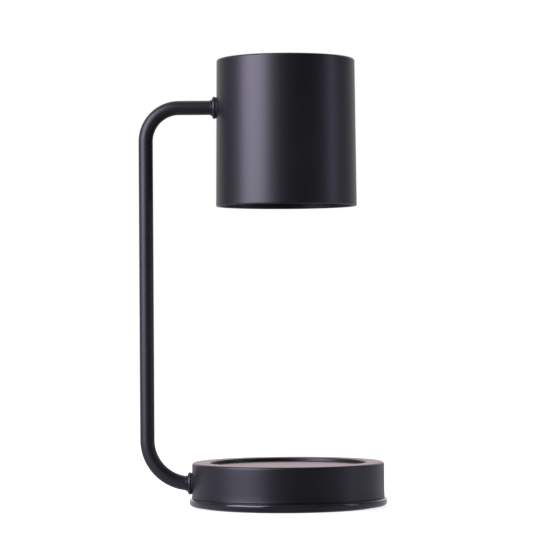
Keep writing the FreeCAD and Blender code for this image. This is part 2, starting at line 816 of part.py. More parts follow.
def make_holder_body():
    """Ceramic body with a keyhole slot for each headed pin and a pocket for each contact."""
    body = bevelled([
        (0, holder_face_z, 0), (holder_radius, holder_face_z, holder_edge_round),
        (holder_radius, holder_cap_z, 0), (0, holder_cap_z, 0)])
    for seated in (90, 270):
        entered = seated - bulb_unlock_angle
        neck_way = arc_slot(pin_circle_radius, pin_neck_radius + turning_gap,
                            holder_face_z - cut_overrun, chamber_z, entered, seated)
        head_way = arc_slot(pin_circle_radius, pin_head_radius + turning_gap, chamber_z, pocket_z,
                            entered, seated)
        entry = rod(Vector(pin_circle_radius, 0, holder_face_z - cut_overrun), Z_AXIS,
                    pocket_z - holder_face_z + cut_overrun, pin_head_radius + entry_gap)
        entry.rotate(Vector(), Z_AXIS, entered)
        body = body.cut(joined(head_way, entry, neck_way))
    for side in (-1, 1):
        inner = pin_circle_radius - contact_width / 2 - slip_gap
        ends = sorted((side * inner, side * (contact_reach() + slip_gap)))
        half = max(contact_width / 2, lead_radius + barrel_wall + close_gap) + slip_gap
        body = body.cut(block(Vector(-half, ends[0], pocket_z), Vector(half, ends[1], holder_cap_z)))
    for hole in holder_screw_holes(close_gap):
        body = body.cut(hole)
    return body


def make_contacts():
    """Bronze blades over the pin heads, each with a crimp barrel on its lead."""
    contacts = []
    for side in (-1, 1):
        ends = sorted((side * (pin_circle_radius - contact_width / 2), side * contact_reach()))
        blade = block(Vector(-contact_width / 2, ends[0], pocket_z),
                      Vector(contact_width / 2, ends[1], pocket_z + contact_thickness))
        base = Vector(0, side * lead_exit_offset, pocket_z)
        bore = lead_radius + close_gap
        contact = joined(blade, rod(base, Z_AXIS, contact_thickness + barrel_height, bore + barrel_wall))
        contacts.append(contact.cut(
            rod(base + Z_AXIS * contact_thickness, Z_AXIS, barrel_height, bore)))
    return contacts


def make_holder_screws():
    seat = bracket_z + bracket_thickness
    length = seat - holder_cap_z + holder_screw_bite - holder_screw_tip_gap
    return [
        pan_screw(Vector(side * holder_screw_offset, 0, seat - length), Z_AXIS, length,
                  holder_screw_radius, holder_screw_head_radius, holder_screw_head_height)
        for side in (-1, 1)]


# Bulb

def bulb_heights():
    """Height of the base's lower end, of the reflector's rim and of the lens face."""
    base_end = bulb_seat_z - bulb_base_height
    rim_z = base_end - bulb_reflector_height + bulb_rim_height
    return base_end, rim_z, rim_z - bulb_rim_height


def reflector_curve(inset):
    """Points along the bowl from neck to rim, as a parabola drawn in by the inset."""
    base_end, rim_z, _ = bulb_heights()
    neck = bulb_base_radius - bulb_neck_setback
    points = []
    for i in range(bowl_points):
        share = i / (bowl_points - 1)
        radius = neck + (bulb_rim_radius - bulb_rim_ledge - neck) * math.sqrt(share)
        points.append(Vector(radius - inset, 0, base_end + (rim_z - base_end) * share))
    return points


def make_reflector():
    base_end, rim_z, face_z = bulb_heights()
    outer = reflector_curve(0)
    inner = reflector_curve(bulb_glass)
    outer_curve = Part.BSplineCurve()
    outer_curve.interpolate(outer)
    inner_curve = Part.BSplineCurve()
    inner_curve.interpolate(inner)
    lens_seat = face_z + bulb_lens_thickness
    rim_inside = bulb_rim_radius - bulb_glass
    rim = Part.makePolygon([
        outer[-1], Vector(bulb_rim_radius, 0, rim_z), Vector(bulb_rim_radius, 0, face_z),
        Vector(rim_inside, 0, face_z), Vector(rim_inside, 0, lens_seat),
        Vector(inner[-1].x, 0, lens_seat), inner[-1]])
    neck = Part.LineSegment(inner[0], outer[0]).toShape()
    edges = [outer_curve.toShape()] + rim.Edges + [inner_curve.toShape(), neck]
    wire = Part.Wire(Part.sortEdges(edges)[0])
    return Part.Face(wire).revolve(Vector(), Z_AXIS, 360)


def make_lens():
    _, _, face_z = bulb_heights()
    radius = bulb_rim_radius - bulb_glass - close_gap
    return bevelled([
        (0, face_z, 0), (radius, face_z, bulb_lens_bevel), (radius, face_z + bulb_lens_thickness, 0),
        (0, face_z + bulb_lens_thickness, 0)])


def make_bulb_base():
    """Ceramic base with a flared foot around the reflector's neck."""
    base_end, _, _ = bulb_heights()
    return bevelled([
        (0, bulb_seat_z, 0), (bulb_base_radius, bulb_seat_z, bulb_base_round),
        (bulb_base_skirt_radius, base_end, bulb_base_skirt_bevel), (0, base_end, 0)])


def make_burner():
    """Quartz capsule on its stem, standing on the base inside the reflector."""
    base_end, _, _ = bulb_heights()
    tip = base_end - burner_stem_length - burner_length
    return turned([
        (0, base_end, 0), (burner_stem_radius, base_end, 0),
        (burner_stem_radius, base_end - burner_stem_length, 0),
        (burner_radius, base_end - burner_stem_length - burner_shoulder, burner_shoulder),
        (burner_radius, tip, burner_tip_share * burner_radius), (0, tip, 0)])


def make_pins():
    pins = []
    for side in (-1, 1):
        foot = Vector(0, side * pin_circle_radius, bulb_seat_z)
        profile = [
            (0, 0, 0), (pin_neck_radius, 0, 0), (pin_neck_radius, pin_neck_length, 0),
            (pin_head_radius, pin_neck_length, pin_foot_bevel),
            (pin_head_radius, pin_neck_length + pin_head_height, pin_tip_bevel),
            (0, pin_neck_length + pin_head_height, 0)]
        pins.append(laid_along(bevelled(profile), foot, Z_AXIS))
    return pins


def export(name, shape):
    """Writes one node, from one solid or a list of like solids."""
    solids = shape if isinstance(shape, list) else [shape]
    solids = [solid for piece in solids for solid in piece.Solids]
    Part.makeCompound(solids).exportStep("parts/%s.step" % name)


def main():
    os.makedirs("parts", exist_ok=True)
    housing = make_base_housing()
    shade = make_shade()
    drum_form = turned(drum_outline(-close_gap) + [(0, cover_floor_z, 0)])
    shade_form = turned([
        (0, shade_rim_z, 0), (shade_rim_radius + close_gap, shade_rim_z, 0),
        (shade_top_radius + close_gap, lamp_height, 0), (0, lamp_height, 0)])
    shade_side = shade_radius_at(arm_head_height)
    nodes = {
        "anti_slip_pad": make_pad(),
        "base_cover": make_base_cover(),
        "base_housing": housing,
        "housing_posts": make_posts(),
        "cover_screws": cover_screws(post_circle_radius, post_seat_z),
        "counterweight": make_counterweight(),
        "counterweight_screws": cover_screws(weight_boss_circle, weight_z),
        "cord_inlet_bush": make_inlet_bush(),
        "terminal_block": make_terminal_block(),
        "terminal_inserts": make_terminal_inserts(),
        "terminal_clamp_screws": make_clamp_screws(),
        "terminal_block_screw": make_terminal_screw(),
        "arm_tube": make_arm_tube(),
        "base_collar": make_collar(drum_radius, arm_foot_height),
        "base_gasket": make_gasket(drum_radius, arm_foot_height, drum_form),
        "base_lock_washer": make_lock_washer(drum_seat_x - lock_washer_thickness, arm_foot_height),
        "base_arm_nut": make_arm_nut(drum_seat_x - lock_washer_thickness - nut_thickness,
                                     arm_foot_height),
        "base_tube_bush": make_bush(foot_end_x, arm_foot_height),
        "shade_collar": make_collar(shade_side, arm_head_height),
        "shade_gasket": make_gasket(shade_side, arm_head_height, shade_form),
        "shade_lock_washer": make_lock_washer(ear_inner_x - lock_washer_thickness, arm_head_height),
        "shade_arm_nut": make_arm_nut(ear_inner_x - lock_washer_thickness - nut_thickness,
                                      arm_head_height),
        "shade_tube_bush": make_bush(head_end_x, arm_head_height),
        "lead_live": make_lead(-1),
        "lead_neutral": make_lead(1),
        "shade": shade,
        "holder_bracket": make_bracket(),
        "holder_cap": make_holder_cap(),
        "holder_body": make_holder_body(),
        "holder_contacts": make_contacts(),
        "holder_screws": make_holder_screws(),
        "bulb_base": make_bulb_base(),
        "bulb_pins": make_pins(),
        "bulb_reflector": make_reflector(),
        "bulb_burner": make_burner(),
        "bulb_lens": make_lens()}
    for name, shape in nodes.items():
        export(name, shape)


if __name__ == "__main__":
    main()
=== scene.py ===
import math

import bmesh
import bpy
from mathutils import Matrix, Vector


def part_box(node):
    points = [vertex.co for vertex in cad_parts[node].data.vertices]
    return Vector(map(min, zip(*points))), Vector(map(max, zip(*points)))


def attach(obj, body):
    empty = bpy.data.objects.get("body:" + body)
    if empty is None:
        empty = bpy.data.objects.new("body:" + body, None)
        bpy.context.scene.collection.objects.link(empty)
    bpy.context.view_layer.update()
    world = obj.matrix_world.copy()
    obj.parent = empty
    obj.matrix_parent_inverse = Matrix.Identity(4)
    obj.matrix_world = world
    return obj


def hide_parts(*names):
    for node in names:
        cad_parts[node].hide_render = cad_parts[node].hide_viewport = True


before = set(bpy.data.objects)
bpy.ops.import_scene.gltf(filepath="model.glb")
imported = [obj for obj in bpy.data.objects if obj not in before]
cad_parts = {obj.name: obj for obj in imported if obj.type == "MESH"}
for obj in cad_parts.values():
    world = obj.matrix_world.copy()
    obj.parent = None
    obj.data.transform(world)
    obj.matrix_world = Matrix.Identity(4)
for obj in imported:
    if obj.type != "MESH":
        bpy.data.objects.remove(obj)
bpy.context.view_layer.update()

# Anti-slip pad.
# A disc of closed-cell foam, die cut and stuck into the shallow recess under the base cover, where its
# cut edge shows as a dark line. It hides the screws, and its fine pores grip the table.

weld = 1e-6
crease_angle = math.radians(40)
round_segments = 6


def deselect():
    if bpy.context.object and bpy.context.object.mode == "EDIT":
        bpy.ops.object.mode_set(mode="OBJECT")
    bpy.ops.object.select_all(action="DESELECT")


def work_on(piece):
    """Selects one piece alone and makes it the active one."""
    deselect()
    piece.select_set(True)
    bpy.context.view_layer.objects.active = piece


def apply_modifier(piece, kind, **settings):
    bpy.context.view_layer.objects.active = piece
    modifier = piece.modifiers.new(kind.lower(), kind)
    for setting, value in settings.items():
        setattr(modifier, setting, value)
    bpy.ops.object.modifier_apply(modifier=modifier.name)


def smooth(piece):
    """Smooth shading that keeps flat faces flat beside their rounded edges."""
    work_on(piece)
    bpy.ops.object.shade_smooth_by_angle(angle=crease_angle)
    apply_modifier(piece, "WEIGHTED_NORMAL", keep_sharp=True, weight=100)


def select_vertices(piece, wanted):
    """In edit mode, selects the vertices whose place passes the test, and no others."""
    shape = bmesh.from_edit_mesh(piece.data)
    for vertex in shape.verts:
        vertex.select = wanted(vertex.co)
    shape.select_flush_mode()
    bmesh.update_edit_mesh(piece.data)


def round_corner(piece, before, corner, after, radius):
    """Rounds one corner of an outline that lies in the XZ plane."""
    turn = (corner - before).angle(after - corner)
    select_vertices(piece, lambda place: (place - corner).length < weld)
    bpy.ops.mesh.bevel(offset=radius * math.tan(turn / 2), segments=round_segments, affect="VERTICES",
                       profile=0.5)


def close_shell(piece):
    """Merges the vertices that meet, turns all faces outwards and leaves edit mode."""
    bpy.ops.mesh.select_all(action="SELECT")
    bpy.ops.mesh.remove_doubles(threshold=weld)
    bpy.ops.mesh.normals_make_consistent(inside=False)
    bpy.ops.object.mode_set(mode="OBJECT")


def lathe(name, outline, steps=192):
    """Turns a (radius, height, corner radius) outline about Z.

    An outline that keeps off the axis closes itself.
    """
    points = [Vector((radius, 0, height)) for radius, height, _ in outline]
    deselect()
    bpy.ops.mesh.primitive_plane_add(size=0.001)
    piece = bpy.context.object
    piece.name = piece.data.name = name
    bpy.ops.object.mode_set(mode="EDIT")
    bpy.ops.mesh.select_all(action="SELECT")
    bpy.ops.mesh.merge(type="CENTER")
    bpy.ops.transform.translate(value=points[0])
    for start, end in zip(points, points[1:]):
        bpy.ops.mesh.extrude_vertices_move(TRANSFORM_OT_translate={"value": end - start})
    ends = points[0], points[-1]
    if min(end.x for end in ends) > weld:
        select_vertices(piece, lambda place: min((place - end).length for end in ends) < weld)
        bpy.ops.mesh.edge_face_add()
    for i, (_, _, radius) in enumerate(outline):
        if radius:
            round_corner(piece, points[i - 1], points[i], points[(i + 1) % len(points)], radius)
    bpy.ops.mesh.select_all(action="SELECT")
    bpy.ops.mesh.spin(steps=steps, angle=math.tau, center=(0, 0, 0), axis=(0, 0, 1), use_auto_merge=True)
    close_shell(piece)
    return piece


def add_node(tree, kind, values=None, **settings):
    """Adds a shader node with its settings and the values of its sockets."""
    node = tree.nodes.new(kind)
    for setting, value in settings.items():
        setattr(node, setting, value)
    for socket, value in (values or {}).items():
        node.inputs[socket].default_value = value
    return node


def wire(tree, *links):
    for source, target in links:
        tree.links.new(source, target)


def grain_group():
    """Fine grain, a softer swell under it, and large patches, all in the object's own coordinates."""
    group = bpy.data.node_groups.new("grain", "ShaderNodeTree")
    inputs = add_node(group, "NodeGroupInput")
    outputs = add_node(group, "NodeGroupOutput")
    place = add_node(group, "ShaderNodeTexCoord")
    for name, size, detail in (("Grain", 0.001, 3), ("Swell", 0.004, 1), ("Patches", 0.03, 4)):
        group.interface.new_socket(
            name + " Size", in_out="INPUT", socket_type="NodeSocketFloat").default_value = size
        group.interface.new_socket(name, in_out="OUTPUT", socket_type="NodeSocketFloat")
        scale = add_node(group, "ShaderNodeMath", {0: 1}, operation="DIVIDE")
        noise = add_node(group, "ShaderNodeTexNoise", {"Detail": detail})
        wire(group,
             (inputs.outputs[name + " Size"], scale.inputs[1]),
             (scale.outputs[0], noise.inputs["Scale"]),
             (place.outputs["Object"], noise.inputs["Vector"]),
             (noise.outputs["Fac"], outputs.inputs[name]))
    return group


grain = grain_group()


def finish(name, colour, tint, roughness, spread=0.08, metallic=0.0, grain_size=0.0006, relief=4e-6,
           swell_size=0.003, swell=6e-6, patch_size=0.02):
    """A finish whose colour drifts in patches, and whose grain and swell lift it and vary its gloss."""
    material = bpy.data.materials.new(name)
    material.use_nodes = True
    tree = material.node_tree
    shader = tree.nodes["Principled BSDF"]
    shader.inputs["Metallic"].default_value = metallic
    texture = add_node(tree, "ShaderNodeGroup", node_tree=grain)
    texture.inputs["Grain Size"].default_value = grain_size
    texture.inputs["Swell Size"].default_value = swell_size
    texture.inputs["Patches Size"].default_value = patch_size
    patches = add_node(tree, "ShaderNodeMapRange", {"From Min": 0.35, "From Max": 0.65})
    colours = add_node(tree, "ShaderNodeMix", name="colours", data_type="RGBA")
    colours.inputs["A"].default_value = (*colour, 1)
    colours.inputs["B"].default_value = (*tint, 1)
    gloss = add_node(tree, "ShaderNodeMapRange", {
        "From Min": 0.3, "From Max": 0.7, "To Min": roughness - spread, "To Max": roughness + spread})
    lift = add_node(tree, "ShaderNodeBump", {"Distance": relief}, name="lift")
    wave = add_node(tree, "ShaderNodeBump", {"Distance": swell})
    wire(tree,
         (texture.outputs["Patches"], patches.inputs["Value"]),
         (patches.outputs["Result"], colours.inputs["Factor"]),
         (colours.outputs["Result"], shader.inputs["Base Color"]),
         (texture.outputs["Grain"], gloss.inputs["Value"]),
         (gloss.outputs["Result"], shader.inputs["Roughness"]),
         (texture.outputs["Grain"], lift.inputs["Height"]),
         (texture.outputs["Swell"], wave.inputs["Height"]),
         (lift.outputs["Normal"], wave.inputs["Normal"]),
         (wave.outputs["Normal"], shader.inputs["Normal"]))
    return material


def pores(material, size, depth):
    """Adds open pores to a finish, as in foam or a sand casting."""
    tree = material.node_tree
    place = add_node(tree, "ShaderNodeTexCoord")
    cells = add_node(tree, "ShaderNodeTexVoronoi", {"Scale": 1 / size})
    pits = add_node(tree, "ShaderNodeBump", {"Distance": depth})
    wire(tree,
         (place.outputs["Object"], cells.inputs["Vector"]),
         (cells.outputs["Distance"], pits.inputs["Height"]),
         (pits.outputs["Normal"], tree.nodes["lift"].inputs["Normal"]))
    return material


def dress(material, *nodes):
    """Gives CAD nodes a finish of their own."""
    for node in nodes:
        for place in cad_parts[node].material_slots:
            place.material = material


def place_piece(piece, material, body, node):
    """Finishes a modelled piece, sets it on its body and lets it stand for its CAD node."""
    piece.data.materials.clear()
    piece.data.materials.append(material)
    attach(piece, body)
    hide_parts(node)


pad_low, pad_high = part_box("anti_slip_pad")
pad_radius = (pad_high[0] - pad_low[0]) / 2
pad_lower_round = 0.0004
pad_upper_round = 0.0002
pore_size = 0.0007
pore_depth = 4e-5
foam = pores(finish("foam", (0.013, 0.013, 0.014), (0.02, 0.02, 0.021), 0.85, grain_size=0.0004,
                    relief=2e-5), pore_size, pore_depth)
pad = lathe("pad", [
    (0, pad_low[2], 0),
    (pad_radius, pad_low[2], pad_lower_round),
    (pad_radius, pad_high[2], pad_upper_round),
    (0, pad_high[2], 0)])
smooth(pad)
place_piece(pad, foam, "lamp", "anti_slip_pad")

# Base cover.
# An injection-moulded tray that closes the drum from below. Its rounded lip stands out under the drum
# and catches a sharper light than the paint, because the mould is polished.

cover_low, cover_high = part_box("base_cover")
lip_radius = (cover_high[0] - cover_low[0]) / 2
lip_top = cover_low[2] + 0.005
lip_lower_round = 0.0019
lip_upper_round = 0.0016
pad_recess_radius = pad_radius + 0.00015
pad_recess_round = 0.0003
cover_under = pad_high[2]
cover_floor = cover_under + 0.0022
skirt_seat = 0.06745
skirt_seat_round = 0.0001
spigot_radius = 0.06575
spigot_wall = 0.0015
spigot_round = 0.0004
spigot_foot_round = 0.0005
moulded = finish("black_moulding", (0.007, 0.007, 0.0078), (0.009, 0.009, 0.010), 0.17, 0.03,
                 grain_size=0.0005, relief=6e-7, swell_size=0.006, swell=4e-6)
cover = lathe("base_cover_shell", [
    (0, cover_under, 0),
    (pad_recess_radius, cover_under, pad_recess_round),
    (pad_recess_radius, cover_low[2], pad_recess_round),
    (lip_radius, cover_low[2], lip_lower_round),
    (lip_radius, lip_top, lip_upper_round),
    (skirt_seat, lip_top, skirt_seat_round),
    (skirt_seat, cover_floor, 0),
    (spigot_radius, cover_floor, 0),
    (spigot_radius, cover_high[2], spigot_round),
    (spigot_radius - spigot_wall, cover_high[2], spigot_round),
    (spigot_radius - spigot_wall, cover_floor, spigot_foot_round),
    (0, cover_floor, 0)], steps=256)
smooth(cover)
place_piece(cover, moulded, "lamp", "base_cover")

# Base housing.
# A deep-drawn steel drum, dished on top so that a jar stands centred under the light, and flared at the
# skirt where it drops over the cover. It has a satin powder coat with a faint orange peel.

drum_low, drum_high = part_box("base_housing")
drum_radius = 0.0669
drum_wall = 0.001
drum_top_round = 0.0017
flare_top = drum_low[2] + 0.009
skirt_radius = 0.0673
skirt_groove_low = drum_low[2] + 0.0019
skirt_groove_high = drum_low[2] + 0.0031
skirt_groove_depth = 0.0007
skirt_groove_slant = 0.0001
skirt_groove_round = 0.0002
dish_radius = 0.0544
dish_floor = drum_high[2] - 0.0028
dish_edge_round = 0.0014
dish_floor_round = 0.0007
arm_foot_height = 0.0164
arm_hole_radius = 0.00515
inlet_height = 0.017
inlet_hole_radius = 0.0049
hole_band = 0.009
drill_length = 0.01


def powder_coat(name, roughness):
    """Satin black paint: fine-grained, gently dimpled, with a little dust on what faces up."""
    material = finish(name, (0.0018, 0.0017, 0.0021), (0.0031, 0.0029, 0.0035), roughness, 0.04,
                      grain_size=0.00045, relief=1.2e-6, swell_size=0.0024, swell=3e-6, patch_size=0.05)
    tree = material.node_tree
    facing = add_node(tree, "ShaderNodeNewGeometry")
    split = add_node(tree, "ShaderNodeSeparateXYZ")
    upward = add_node(tree, "ShaderNodeMapRange", {"From Min": 0.6, "To Max": 0.5})
    place = add_node(tree, "ShaderNodeTexCoord")
    specks = add_node(tree, "ShaderNodeTexNoise", {"Scale": 900, "Detail": 6})
    threshold = add_node(tree, "ShaderNodeMapRange", {"From Min": 0.58, "From Max": 0.72})
    amount = add_node(tree, "ShaderNodeMath", operation="MULTIPLY")
    dusty = add_node(tree, "ShaderNodeMix", data_type="RGBA")
    dusty.inputs["B"].default_value = (0.06, 0.058, 0.055, 1)
    wire(tree,
         (facing.outputs["Normal"], split.inputs[0]),
         (split.outputs["Z"], upward.inputs["Value"]),
         (place.outputs["Object"], specks.inputs["Vector"]),
         (specks.outputs["Fac"], threshold.inputs["Value"]),
         (upward.outputs["Result"], amount.inputs[0]),
         (threshold.outputs["Result"], amount.inputs[1]),
         (amount.outputs[0], dusty.inputs["Factor"]),
         (tree.nodes["colours"].outputs["Result"], dusty.inputs["A"]),
         (dusty.outputs["Result"], tree.nodes["Principled BSDF"].inputs["Base Color"]))
    return material


def cut(piece, tool):
    """Cuts one closed shape out of another and clears it away."""
    apply_modifier(piece, "BOOLEAN", operation="DIFFERENCE", solver="EXACT", object=tool)
    bpy.data.objects.remove(tool)


def drill(piece, middle, axis, radius):
    """Bores a round hole through a wall."""
    deselect()
    bpy.ops.mesh.primitive_cylinder_add(
        vertices=64, radius=radius, depth=drill_length, location=middle,
        rotation=Vector(axis).to_track_quat("Z", "Y").to_euler())
    cut(piece, bpy.context.object)


def drum_side(inset):
    """The drum's flared side, drawn in by the inset, with a ring above its two holes."""
    return [
        (skirt_radius - inset, drum_low[2], 0),
        ((skirt_radius + 2 * drum_radius) / 3 - inset, (drum_low[2] + flare_top) / 2, 0),
        (drum_radius - inset, flare_top, 0),
        (drum_radius - inset, arm_foot_height + hole_band, 0)]


def skirt_groove():
    """The rolled groove at the skirt's foot, which throws the dark line above the lip."""
    floor = skirt_radius - skirt_groove_depth
    return [
        (skirt_radius - skirt_groove_slant / 2, skirt_groove_low, skirt_groove_round / 2),
        (floor, skirt_groove_low + skirt_groove_slant, skirt_groove_round),
        (floor, skirt_groove_high - skirt_groove_slant, skirt_groove_round),
        (skirt_radius - skirt_groove_slant, skirt_groove_high, skirt_groove_round)]


coat = powder_coat("powder_coat", 0.395)
outer_side = drum_side(0)
drum = lathe("base_drum", outer_side[:1] + skirt_groove() + outer_side[1:] + [
    (drum_radius, drum_high[2], drum_top_round),
    (dish_radius, drum_high[2], dish_edge_round),
    (dish_radius, dish_floor, dish_floor_round),
    (0, dish_floor, 0),
    (0, dish_floor - drum_wall, 0),
    (dish_radius + drum_wall, dish_floor - drum_wall, dish_floor_round + drum_wall),
    (dish_radius + drum_wall, drum_high[2] - drum_wall, dish_edge_round - drum_wall),
    (drum_radius - drum_wall, drum_high[2] - drum_wall, drum_top_round - drum_wall),
    *drum_side(drum_wall)[::-1]], steps=256)
drill(drum, (-drum_radius, 0, arm_foot_height), (1, 0, 0), arm_hole_radius)
drill(drum, (0, drum_radius, inlet_height), (0, 1, 0), inlet_hole_radius)
smooth(drum)
place_piece(drum, coat, "lamp", "base_housing")

# Posts, screws and counterweight.
# Three threaded posts are welded under the drum and take the cover's screws. A cast-iron disc is screwed
# to the cover, and keeps the lamp from tipping towards its shade.

zinc = finish("zinc_plate", (0.56, 0.58, 0.60), (0.66, 0.66, 0.62), 0.34, 0.1, metallic=1.0,
              grain_size=0.0003, relief=1.5e-6, patch_size=0.004)
sand_size = 0.0016
sand_depth = 9e-5
cast = pores(finish("cast_iron", (0.10, 0.097, 0.093), (0.17, 0.15, 0.13), 0.7, 0.1, metallic=0.4,
                    grain_size=0.0008, relief=6e-5, patch_size=0.01), sand_size, sand_depth)
dress(zinc, "housing_posts", "cover_screws", "counterweight_screws")
dress(cast, "counterweight")

# Cord inlet bush.
# A soft snap-in bush in the drum's back wall, through which a mains cord would pass. Its flange seats on
# the paint, and its skin is matte with faint mould marks.

rubber = finish("black_rubber", (0.012, 0.012, 0.0125), (0.02, 0.0195, 0.019), 0.62, 0.1,
                grain_size=0.0003, relief=6e-6, patch_size=0.006)
dress(rubber, "cord_inlet_bush")

# Terminal block.
# A milky white block on the counterweight, where the cord would meet the two leads. Each pole is a
# brass barrel with two clamp screws, and one screw holds the block down.

block_plastic = finish("terminal_plastic", (0.72, 0.72, 0.68), (0.78, 0.77, 0.72), 0.4, 0.08,
                       grain_size=0.0005, relief=3e-6)
block_plastic.node_tree.nodes["Principled BSDF"].inputs["Subsurface Weight"].default_value = 0.2
brass = finish("brass", (0.72, 0.50, 0.20), (0.62, 0.40, 0.16), 0.3, 0.08, metallic=1.0,
               grain_size=0.0003, relief=2e-6, patch_size=0.003)
dress(block_plastic, "terminal_block")
dress(brass, "terminal_inserts")
dress(zinc, "terminal_clamp_screws", "terminal_block_screw")

# Arm.
# One steel tube, bent twice on a mandrel so that both bends are drawn a little flat, then coated a little
# rougher than the drum. Its ends run into the drum and into the shade.

tube_radius = 0.005
tube_wall = 0.001
tube_sides = 64
bend_steps = 24
bend_spread = 0.45
foot_bend = 0.0304
head_bend = 0.0234
foot_flattening = 0.11
head_flattening = 0.18
upright_x = -0.098
arm_head_height = 0.2784
bush_lip = 0.0012
foot_end_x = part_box("base_tube_bush")[1][0] - bush_lip
head_end_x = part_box("shade_tube_bush")[1][0] - bush_lip
foot_centre = Vector((upright_x + foot_bend, 0, arm_foot_height + foot_bend))
head_centre = Vector((upright_x + head_bend, 0, arm_head_height - head_bend))
ring_match = 1e-5


def bend(piece, centre, radius, start, flattening):
    """Spins the tube's open end through a quarter turn and draws the middle of the bend flat."""
    bpy.ops.mesh.spin(steps=bend_steps, angle=math.pi / 2, center=centre, axis=(0, 1, 0))
    for step in range(1, bend_steps):
        share = step / bend_steps
        squeeze = flattening * math.sin(math.pi * share) ** 2
        turn = Matrix.Rotation(math.radians(start) + share * math.pi / 2, 3, "Y")
        middle = centre + turn @ Vector((radius, 0, 0))
        along = turn @ Vector((0, 0, -1))
        select_vertices(piece, lambda place: abs((place - middle).dot(along)) < ring_match
                        and (place - middle).length < 2 * tube_radius)
        bpy.ops.transform.resize(
            value=(1 - squeeze, 1 + bend_spread * squeeze, 1), orient_type="GLOBAL", orient_matrix=turn,
            orient_matrix_type="GLOBAL", center_override=middle)


def extend(piece, start, end):
    """Draws the tube's open end on from one middle point to the next."""
    select_vertices(piece, lambda place: abs((place - start).length - tube_radius) < ring_match)
    bpy.ops.mesh.extrude_region_move(TRANSFORM_OT_translate={"value": end - start})


head_end = Vector((head_end_x, 0, arm_head_height))
deselect()
bpy.ops.mesh.primitive_circle_add(vertices=tube_sides, radius=tube_radius, location=head_end,
                                  rotation=(0, math.pi / 2, 0))
tube = bpy.context.object
tube.name = tube.data.name = "arm"
bpy.ops.object.transform_apply(location=True, rotation=True, scale=True)
bpy.ops.object.mode_set(mode="EDIT")
extend(tube, head_end, head_centre + Vector((0, 0, head_bend)))
bend(tube, head_centre, head_bend, -90, head_flattening)
extend(tube, head_centre - Vector((head_bend, 0, 0)), foot_centre - Vector((foot_bend, 0, 0)))
bend(tube, foot_centre, foot_bend, 180, foot_flattening)
extend(tube, foot_centre - Vector((0, 0, foot_bend)), Vector((foot_end_x, 0, arm_foot_height)))
close_shell(tube)
apply_modifier(tube, "SOLIDIFY", thickness=tube_wall, offset=-1)
smooth(tube)
tube_coat = powder_coat("tube_coat", 0.46)
place_piece(tube, tube_coat, "lamp", "arm_tube")

# Collars and gaskets.
# A turned collar slides on each end of the arm, and clamps a thin soft gasket against the round wall.
# The gasket's far side follows the wall, and its edge shows as a black line.

bore_radius = tube_radius + 0.0001
neck_radius = 0.0057
neck_length = 0.0012
neck_round = 0.0004
neck_root_round = 0.0002
collar_groove_depth = 0.0003
collar_groove_width = 0.0004
collar_groove_round = 0.0001
bore_face_round = 0.0002
bore_end_round = 0.0001
flange_inner_round = 0.0006
flange_outer_round = 0.0016
gasket_stock = 0.002
gasket_round = 0.00015
seat_gap = 0.0001
wall_tool_height = 0.04
shade_low, shade_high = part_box("shade")
shade_top_radius = 0.0482
shade_rim_radius = 0.0491
shade_slope = (shade_rim_radius - shade_top_radius) / (shade_high[2] - shade_low[2])


def shade_radius(height):
    return shade_rim_radius - shade_slope * (height - shade_low[2])


def stand(piece, face_x, height):
    """Turns a lathed piece to point along -X, with its flat face at face_x."""
    work_on(piece)
    piece.rotation_euler = (0, -math.pi / 2, 0)
    piece.location = (face_x, 0, height)
    bpy.ops.object.transform_apply(location=True, rotation=True, scale=True)


def make_collar(node, name):
    """The collar's outline starts at its flat face, and its neck points away from the wall."""
    low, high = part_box(node)
    flange_radius = (high[2] - low[2]) / 2
    length = high[0] - low[0]
    flange_top = length - neck_length
    groove_radius = neck_radius - collar_groove_depth
    groove_top = flange_top + collar_groove_width
    piece = lathe(name, [
        (bore_radius, 0, bore_face_round),
        (flange_radius, 0, flange_inner_round),
        (flange_radius, flange_top, flange_outer_round),
        (groove_radius, flange_top, collar_groove_round),
        (groove_radius, groove_top, collar_groove_round),
        (neck_radius, groove_top, neck_root_round),
        (neck_radius, length, neck_round),
        (bore_radius, length, bore_end_round)], steps=96)
    stand(piece, high[0], (high[2] + low[2]) / 2)
    return piece


def make_gasket(node, name, wall_radius, slope):
    """A ring between the collar's face and the wall, cut back by the wall itself."""
    low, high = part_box(node)
    gasket_radius = (high[2] - low[2]) / 2
    height = (high[2] + low[2]) / 2
    piece = lathe(name, [
        (bore_radius, -gasket_stock, 0),
        (gasket_radius, -gasket_stock, 0),
        (gasket_radius, 0, gasket_round),
        (bore_radius, 0, 0)], steps=96)
    stand(piece, low[0], height)
    deselect()
    spread = slope * wall_tool_height / 2
    bpy.ops.mesh.primitive_cone_add(
        vertices=512, radius1=wall_radius + spread, radius2=wall_radius - spread, depth=wall_tool_height,
        location=(0, 0, height))
    cut(piece, bpy.context.object)
    return piece


for end, wall_radius, slope in (("base", drum_radius, 0),
                                ("shade", shade_radius(arm_head_height), shade_slope)):
    collar = make_collar(end + "_collar", end + "_arm_collar")
    smooth(collar)
    place_piece(collar, coat, "lamp", end + "_collar")
    gasket = make_gasket(end + "_gasket", end + "_arm_gasket", wall_radius + seat_gap, slope)
    smooth(gasket)
    place_piece(gasket, rubber, "lamp", end + "_gasket")

# Arm nuts, washers and bushes.
# Inside the drum and inside the shade, a toothed washer and a thin nut pull the arm tight. A soft bush in
# each end of the tube keeps its cut edge off the leads.

dress(zinc, "base_lock_washer", "base_arm_nut", "shade_lock_washer", "shade_arm_nut")
dress(rubber, "base_tube_bush", "shade_tube_bush")

# Leads.
# Two single leads in heat-proof silicone sleeves run from the terminal block through the arm to the lamp
# holder, one brown and one blue.

